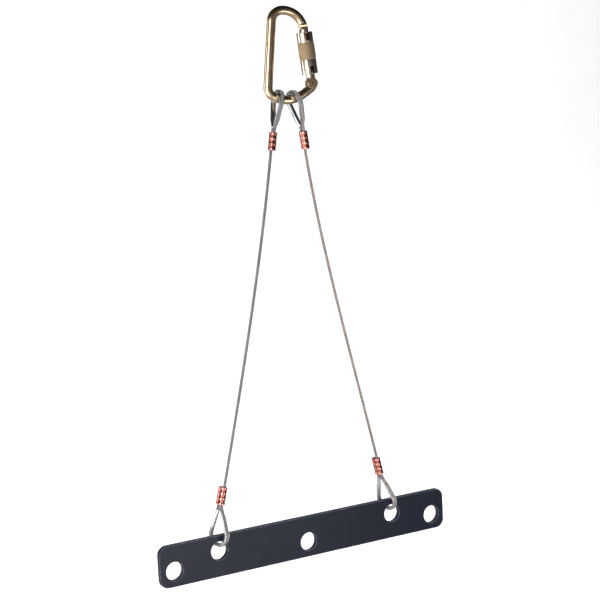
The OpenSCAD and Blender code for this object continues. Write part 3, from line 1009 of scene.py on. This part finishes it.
dress(make_bar(), "spreader_bar", "bar_black", MATERIALS["bar_black"], "spreader_bar")


# ---------------------------------------------------------------- carabiner frame
STOCK_SIDES = 96
BEND_STEP = 2.5
TOP_BOW_STEP = 1.0
STRAIGHT_STEP = 4
NOSE_STEPS = 6
NOSE_REGION_LOW = -30
NOSE_CORNER = 0.5
EAR_SIDES = 96
EAR_RIM = 0.35
EAR_ROUND = 0.4
SLOT_REACH, SLOT_TOP = 30, 12
NOTCH_HALF = 5
FRAME_BEVEL = 0.28
TIP_ROUND, TIP_RINGS = 0.5, 4


def stock_line():
    """Points along the stock's centre line, drawn flat, with the heading at each."""
    line = []
    p, heading = NOSE_TIP, NOSE_HEADING
    for length, angle in CARABINER_PATH:
        count = max(2, int(angle / BEND_STEP if angle else length / STRAIGHT_STEP))
        if angle and length == TOP_BOW_R:
            count = int(angle / TOP_BOW_STEP)
        if length == NOSE_STRAIGHT:
            count = NOSE_STEPS
        for i in range(count):
            part = (length, angle * i / count) if angle else (length * i / count, 0)
            line.append((step_end(p, heading, part) if i else p, heading + part[1] * bool(angle)))
        p, heading = step_end(p, heading, (length, angle)), heading + angle
    line.append((p, heading))
    return line


def nose_half(height):
    """Half the nose's thickness at a height up the gate axis: a flat blade, then its run-out."""
    rise = height - FLAT_TOP
    if rise <= 0:
        return BLADE_T / 2
    if rise >= CUTTER_R:
        return 2 * STOCK_R
    return BLADE_T / 2 + CUTTER_R - math.sqrt(CUTTER_R**2 - rise**2)


def make_ear():
    """The round hinge end: the middle slice of a ball, with its axis across the gate."""
    rim = math.sqrt(EAR_BALL_R**2 - STOCK_R**2)
    shoulder = math.sqrt(EAR_BALL_R**2 - EAR_R**2)
    from_flat = math.degrees(math.asin(STOCK_R / EAR_BALL_R))
    to_side = math.degrees(math.asin(shoulder / EAR_BALL_R))
    arc = np.linspace(from_flat, to_side, 6)
    ball = [(EAR_BALL_R * cos(a), EAR_BALL_R * sin(a)) for a in arc]
    half = rounded([(0, STOCK_R), (rim - EAR_RIM, STOCK_R)] + ball, EAR_ROUND)
    profile = half + [(r, -h) for r, h in reversed(half)]
    rings = turned([point for point in profile if point[0] > 0.001], EAR_SIDES)
    return make_object("ear", placed(np.concatenate(rings), ON_GATE_AXIS @ turn("X", 90)), skin(rings))


def make_frame():
    around = 2 * np.pi * np.arange(STOCK_SIDES) / STOCK_SIDES
    up = np.array([cos(NOSE_HEADING), sin(NOSE_HEADING)])
    rings = []

    def add(p, heading, inset):
        side = np.array([sin(heading), -cos(heading)])
        r = STOCK_R - inset
        flat = np.asarray(p)[None, :] + (r * np.cos(around))[:, None] * side
        y = r * np.sin(around)
        heights = (flat - RIVET) @ up
        if heights.max() > 0 and p[0] > 0 and p[1] > NOSE_REGION_LOW:
            half = np.array([nose_half(h) for h in heights]) - inset
            y = np.sign(y) * smooth_min(np.abs(y), half, NOSE_CORNER)
        rings.append(np.stack([flat[:, 0], y, flat[:, 1]], 1))

    for i in range(TIP_RINGS):
        gone = 1 - i / TIP_RINGS
        inset = TIP_ROUND * (1 - math.sqrt(1 - gone * gone))
        add(NOSE_TIP + up * TIP_ROUND * i / TIP_RINGS, NOSE_HEADING, inset)
    # The line's first two points lie inside the rounded tip.
    for p, heading in stock_line()[2:]:
        add(p, heading, 0)
    body = make_object(
        "steel_carabiner", placed(np.concatenate(rings), IN_CARABINER), skin(rings)
    )
    combine(body, make_ear(), "UNION")
    slot_low, slot_high = (-SLOT_REACH, -SLOT_T / 2, SLOT_FLOOR), (SLOT_REACH, SLOT_T / 2, SLOT_TOP)
    combine(body, box_object(slot_low, slot_high, ON_GATE_AXIS), "DIFFERENCE")
    notch_low, notch_high = (-10, -NOTCH_HALF, LIP_TOP), (NOTCH_REACH, NOTCH_HALF, NOTCH_TOP)
    combine(body, box_object(notch_low, notch_high, ON_GATE_AXIS), "DIFFERENCE")
    soften(body, FRAME_BEVEL, 2, 38)
    return body


dress(make_frame(), "carabiner", "zinc_gold", MATERIALS["zinc_gold"], "carabiner_body")


# ---------------------------------------------------------------- gate, pins and springs
def softened_copy(node, width, segments=2, angle=30):
    """A CAD node's shape with its sharp edges rounded over."""
    obj = bpy.data.objects.new("soft_" + node, nodes[node].data.copy())
    bpy.context.scene.collection.objects.link(obj)
    soften(obj, width, segments, angle)
    return obj


COIL_SIDES = 32


def make_coil(name, radius, wire_r, low, high, turns, offset=0.0):
    """A coil on the gate's axis, or beside it by offset, between two heights."""
    count = turns * COIL_SIDES
    angle = 2 * np.pi * np.arange(count + 1) / COIL_SIDES
    rise = low + wire_r + (high - low - 2 * wire_r) * np.arange(count + 1) / count
    line = np.stack([offset + radius * np.cos(angle), radius * np.sin(angle), rise], 1)
    line = placed(line, ON_GATE_AXIS)
    u, v = carried(line)
    rings = swept(line, u, v, np.full(12, wire_r), np.zeros(len(line)))
    return make_object(name, rings.reshape(-1, 3), skin(rings))


dress(softened_copy("gate", 0.3, 3), "gate", "pale_zinc_gold", MATERIALS["gate_gold"], "gate")
for node, body in (
    ("gate_rivet", "carabiner"),
    ("latch_pin", "gate"),
    ("sleeve_guide_pin", "gate"),
    ("gate_plunger", "plunger"),
):
    dress(softened_copy(node, 0.2), body, "pin_steel", MATERIALS["pin_steel"], node)
COIL_LOW, COIL_TOP, COIL_OFFSET = 2.65, 23.95, -3.1
spring = dress(
    make_coil("gate_coil", 0.7, 0.24, COIL_LOW, COIL_TOP, 10, COIL_OFFSET),
    "gate",
    "spring_steel",
    MATERIALS["spring_steel"],
    "gate_spring",
)
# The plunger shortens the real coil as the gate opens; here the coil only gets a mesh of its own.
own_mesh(spring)
dress(
    make_coil("sleeve_coil", 6.5, 0.6, CHAMBER_LOW + 1, CHAMBER_TOP - 1, 8),
    "gate",
    "spring_steel",
    MATERIALS["spring_steel"],
    "sleeve_spring",
)


# ---------------------------------------------------------------- locking sleeve
KNURLS = 20
KNURL_DEPTH = 0.8
KNURL_SIDES = KNURLS * 10
# A diamond's tip is cut off at this share of the knurl's height; it is steeper and taller than wide.
KNURL_TOP = 0.82
KNURL_STEEP = 1.5
KNURL_TALL = 1.15
# Painted shade in the knurl grooves fades out at this share of the knurl's height.
KNURL_SHADE_TOP = 0.7
BAND_RIM, BAND_RIM_DROP = 0.5, 0.45
# Beside the band runs a shallow groove. Its floor lies between the first two distances from the
# band, and at the third its side has risen to the sleeve.
NECK_NEAR, NECK_FAR, NECK_RISE = 0.15, 0.6, 0.9
NECK_R = SLEEVE_R - 0.35
SLEEVE_ROUND = 0.55
BORE_RIM, BORE_RIM_DEEP = 0.6, 0.5


def knurled_band():
    """Rings up the band, and how deep in a groove each point lies: two crossing sets of helical
    grooves leave diamonds."""
    pitch = 2 * math.pi * BAND_R / KNURLS
    around = 2 * np.pi * np.arange(KNURL_SIDES) / KNURL_SIDES
    u = around * KNURLS / (2 * np.pi)
    rows = int((BAND_TOP - BAND_LOW) / (pitch / 10))
    band, grooves = [], []

    def ridge(t):
        return 1 - np.abs((t % 1.0) - 0.5) * 2

    for i in range(rows + 1):
        z = BAND_LOW + (BAND_TOP - BAND_LOW) * i / rows
        w = (z - BAND_LOW) / pitch / KNURL_TALL
        height = np.minimum(ridge(u + w), ridge(u - w))
        height = np.minimum(height * KNURL_STEEP, KNURL_TOP)
        from_end = min(z - BAND_LOW, BAND_TOP - z)
        grooves.append(np.clip(1 - height / KNURL_SHADE_TOP, 0, 1))
        base = BAND_R - BAND_RIM_DROP * max(0.0, 1 - from_end / BAND_RIM)
        r = base - KNURL_DEPTH * (KNURL_TOP - height)
        band.append(np.stack([r * np.cos(around), r * np.sin(around), np.full(KNURL_SIDES, z)], 1))
    return band, grooves


def make_sleeve():
    """A turned sleeve with a knurled band, a stepped bore and two windows."""
    outer = rounded(
        [
            (SLEEVE_BORE_R + BORE_RIM, SLEEVE_LOW),
            (SLEEVE_R, SLEEVE_LOW),
            (SLEEVE_R, BAND_LOW - NECK_RISE),
            (NECK_R, BAND_LOW - NECK_FAR),
            (NECK_R, BAND_LOW - NECK_NEAR),
        ],
        SLEEVE_ROUND,
    )
    top = rounded(
        [
            (NECK_R, BAND_TOP + NECK_NEAR),
            (NECK_R, BAND_TOP + NECK_FAR),
            (SLEEVE_R, BAND_TOP + NECK_RISE),
            (SLEEVE_R, SLEEVE_TOP),
            (SLEEVE_BORE_R + BORE_RIM, SLEEVE_TOP),
        ],
        SLEEVE_ROUND,
    )
    groove_low, groove_high = GROOVE_MID - GROOVE_HALF, GROOVE_MID + GROOVE_HALF
    inner = [
        (SLEEVE_BORE_R, SLEEVE_TOP - BORE_RIM_DEEP),
        (SLEEVE_BORE_R, groove_high),
        (GROOVE_R, groove_high),
        (GROOVE_R, groove_low),
        (SLEEVE_BORE_R, groove_low),
        (SLEEVE_BORE_R, CHAMBER_TOP),
        (CHAMBER_R, CHAMBER_TOP),
        (CHAMBER_R, CHAMBER_LOW),
        (SLEEVE_BORE_R, CHAMBER_LOW),
        (SLEEVE_BORE_R, SLEEVE_LOW + BORE_RIM_DEEP),
    ]

    band, grooves = knurled_band()
    below, above, bore = (turned(part, KNURL_SIDES) for part in (outer, top, inner))
    rings = below + band + above + bore
    faces = skin(rings, wrap=True)
    sleeve = make_object("turned_sleeve", placed(np.concatenate(rings), ON_GATE_AXIS), faces)
    # Painted shade in the knurl grooves; the rest of the sleeve has none.
    painted_shade = [np.zeros(KNURL_SIDES)] * len(rings)
    painted_shade[len(outer) : len(outer) + len(band)] = grooves
    weights(sleeve, "painted_shade", np.concatenate(painted_shade))
    first_band = len(outer) * KNURL_SIDES
    last_band = first_band + len(band) * KNURL_SIDES
    sleeve.data.materials.append(MATERIALS["pale_zinc_gold"])
    sleeve.data.materials.append(MATERIALS["knurled_gold"])
    for polygon in sleeve.data.polygons:
        if all(first_band <= v < last_band for v in polygon.vertices):
            polygon.material_index = 1
    # The windows are in the front wall only.
    half, front = WINDOW_W / 2, -15
    for low, high in (
        (SLEEVE_TOP - TOP_WINDOW, SLEEVE_TOP + 1),
        (SLEEVE_LOW - 1, SLEEVE_LOW + LOW_WINDOW),
    ):
        window = box_object((-half, front, low), (half, 0, high), ON_GATE_AXIS)
        combine(sleeve, window, "DIFFERENCE")
    sleeve.data.set_sharp_from_angle(angle=math.radians(50))
    return sleeve


sleeve = make_sleeve()
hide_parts("locking_sleeve")
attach(sleeve, "sleeve")


# ---------------------------------------------------------------- stage and light
FLOOR_DROP = 0.16
BACKDROP_Y = 2.2
BACKDROP_TOP = 3.0
COVE_R = 0.8
STAGE_FRONT = -4.0
STAGE_HALF = 5.0


def make_stage():
    """One pale sheet: a floor under the object that curves up behind it."""
    floor = cad_box[0].z - FLOOR_DROP
    profile = [(STAGE_FRONT, floor)]
    for a in range(0, 91, 6):
        profile.append((BACKDROP_Y - COVE_R + COVE_R * sin(a), floor + COVE_R * (1 - cos(a))))
    profile.append((BACKDROP_Y, BACKDROP_TOP))
    points, faces = [], []
    for x in (-STAGE_HALF, STAGE_HALF):
        points += [(x / MM, y / MM, z / MM) for y, z in profile]
    n = len(profile)
    for i in range(n - 1):
        faces.append((i, i + 1, n + i + 1, n + i))
    stage = make_object("stage", points, faces)
    stage.data.materials.append(stage_white("stage_white"))
    return stage


def soft_light(name, azimuth, elevation, distance, width, height, radiance, colour=(1, 1, 1), aim=-0.3):
    """An area light seen from the object at that azimuth and elevation, facing the object."""
    data = bpy.data.lights.new(name, "AREA")
    data.shape = "RECTANGLE"
    data.size = width
    data.size_y = height
    data.energy = radiance * math.pi * width * height
    data.color = colour
    light = bpy.data.objects.new(name, data)
    bpy.context.scene.collection.objects.link(light)
    back = turn("Z", azimuth) @ turn("X", 90 - elevation)
    light.matrix_world = shift(0, 0, aim) @ back @ shift(0, 0, distance)
    light.visible_camera = False
    return light


# The studio's own brightness by height, from straight down to straight up.
STUDIO = ((0.0, 0.42), (0.36, 0.50), (0.5, 0.19), (0.62, 0.10), (0.8, 0.04), (1.0, 0.01))
STUDIO_TINT = (1, 0.97, 0.95)
# The right-hand side is the darker one.
RIGHT_SHADE = ((0.45, 1.0), (0.8, 0.3))
# Each light: name, azimuth, elevation, distance, width, height, radiance, colour, height aimed at.
LIGHTS = (
    ("key", -64, -8, 1.6, 1.0, 1.8, 3.3),
    ("front_card", 11, -36, 1.45, 0.7, 0.5, 3.0, (1.0, 0.97, 0.95), 0.0),
    ("side_strip", -126, -6, 1.6, 0.35, 1.6, 3.0),
    ("back_card", 150, 35, 1.8, 1.2, 1.0, 0.9),
)
UNSEEN_LIGHTS = (
    ("overhead", 0, 90, 2.6, 4.0, 4.0, 3.4),
    ("backdrop_light", 0, 45, 3.0, 3.6, 1.0, 5.2),
)
BACKDROP_LIGHT_X = 1.8


def graded(tree, way, stops, tint):
    """A colour that changes with a direction's X or Z, from -1 to 1."""
    part = tree.nodes.new("ShaderNodeMapRange")
    part.inputs["From Min"].default_value = -1
    tree.links.new(way, part.inputs["Value"])
    ramp = tree.nodes.new("ShaderNodeValToRGB")
    elements = ramp.color_ramp.elements
    for i, (at, grey) in enumerate(stops):
        element = elements[i] if i < 2 else elements.new(at)
        element.position = at
        element.color = (*(grey * c for c in tint), 1)
    tree.links.new(part.outputs["Result"], ramp.inputs["Fac"])
    return ramp.outputs["Color"]


def make_world():
    world = bpy.data.worlds.new("world")
    world.use_nodes = True
    tree = world.node_tree
    parts = tree.nodes.new("ShaderNodeSeparateXYZ")
    tree.links.new(tree.nodes.new("ShaderNodeTexCoord").outputs["Generated"], parts.inputs["Vector"])
    both = tree.nodes.new("ShaderNodeMix")
    both.data_type = "RGBA"
    both.blend_type = "MULTIPLY"
    both.inputs["Factor"].default_value = 1
    tree.links.new(graded(tree, parts.outputs["Z"], STUDIO, STUDIO_TINT), both.inputs[6])
    tree.links.new(graded(tree, parts.outputs["X"], RIGHT_SHADE, (1, 1, 1)), both.inputs[7])
    tree.links.new(both.outputs[2], tree.nodes["Background"].inputs["Color"])
    bpy.context.scene.world = world


def make_lights():
    for light in LIGHTS:
        soft_light(*light)
    # These two light the sheet and the object, and no reflection shows them.
    overhead, backdrop = (soft_light(*light) for light in UNSEEN_LIGHTS)
    # The camera looks at the part of the backdrop that lies to the right.
    backdrop.matrix_world = shift(BACKDROP_LIGHT_X, 0, 0) @ backdrop.matrix_world
    for light in (overhead, backdrop):
        light.visible_glossy = False


stage = make_stage()
stage.visible_glossy = False
make_world()
make_lights()
bpy.context.scene.view_settings.view_transform = "Standard"
